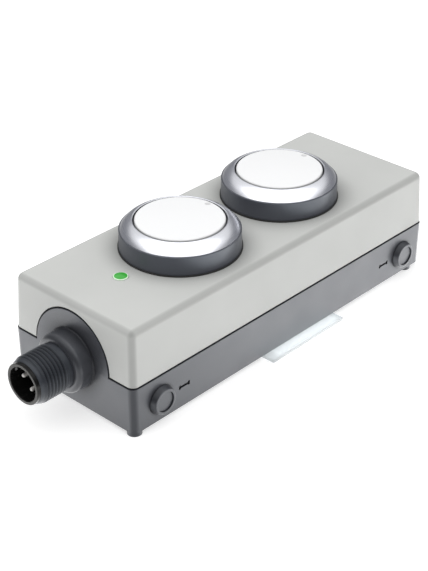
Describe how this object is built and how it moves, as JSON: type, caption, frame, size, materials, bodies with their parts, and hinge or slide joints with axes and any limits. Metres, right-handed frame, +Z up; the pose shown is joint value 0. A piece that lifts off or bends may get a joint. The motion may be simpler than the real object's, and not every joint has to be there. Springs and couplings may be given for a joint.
{
  "type": "pushbutton box",
  "caption": "Small operator's box with large round illuminated pushbuttons, a status lamp and a round threaded pin connector on its end.",
  "frame": {"origin": "middle of the housing's footprint, on the plane of the feet", "axes": "+X along the housing away from the connector, +Z up out of the buttons, -Y towards the long side from which the clear plate projects"},
  "size_m": [0.1228, 0.0447, 0.0356],
  "materials": {
    "base_plastic": "fine satin grain",
    "cover_plastic": "fine satin grain",
    "seal_rubber": "smooth",
    "screw_steel": "zinc plated",
    "clear_plastic": "clear polished plastic",
    "board_laminate": "solder resist",
    "component_plastic": "moulded",
    "lamp_plastic": "clear moulded",
    "green_lens": "translucent",
    "plated_metal": "nickel plated",
    "black_plastic": "moulded",
    "contact_metal": "plated",
    "collar_plastic": "satin",
    "bezel_metal": "satin",
    "white_lens": "translucent white, smooth",
    "spring_steel": "bright wire"
  },
  "bodies": {
    "housing": {"base_shell": "base_plastic", "cover_shell": "cover_plastic", "housing_gasket": "seal_rubber", "housing_screws": "screw_steel", "side_plugs": "base_plastic", "clear_plate": "clear_plastic", "circuit_board": "board_laminate", "board_components": "component_plastic", "board_screws": "screw_steel", "connector_board": "board_laminate", "board_header": "component_plastic", "status_led": "lamp_plastic", "light_pipe": "green_lens", "connector_shell": "base_plastic", "connector_seal": "seal_rubber", "connector_nut": "plated_metal", "pin_carrier": "black_plastic", "contact_pins": "contact_metal", "collar_1": "collar_plastic", "collar_2": "collar_plastic", "bezel_ring_1": "bezel_metal", "bezel_ring_2": "bezel_metal", "collar_seal_1": "seal_rubber", "collar_seal_2": "seal_rubber", "fixing_nut_1": "black_plastic", "fixing_nut_2": "black_plastic", "plunger_seal_1": "seal_rubber", "plunger_seal_2": "seal_rubber", "return_spring_1": "spring_steel", "return_spring_2": "spring_steel", "switch_body_1": "component_plastic", "switch_body_2": "component_plastic", "button_leds_1": "lamp_plastic", "button_leds_2": "lamp_plastic"},
    "button_1": {"lens_cap_1": "white_lens", "plunger_1": "white_lens", "plunger_clip_1": "spring_steel", "switch_stem_1": "black_plastic"},
    "button_2": {"lens_cap_2": "white_lens", "plunger_2": "white_lens", "plunger_clip_2": "spring_steel", "switch_stem_2": "black_plastic"}
  },
  "joints": [
    {"name": "button_1_press", "type": "slide", "parent": "housing", "child": "button_1", "axis": [0, 0, -1], "range_m": [0, 0.002], "stiffness_N_per_m": 400, "springref_m": -0.004, "deforming": ["return_spring_1"]},
    {"name": "button_2_press", "type": "slide", "parent": "housing", "child": "button_2", "axis": [0, 0, -1], "range_m": [0, 0.002], "stiffness_N_per_m": 400, "springref_m": -0.004, "deforming": ["return_spring_2"]}
  ]
}
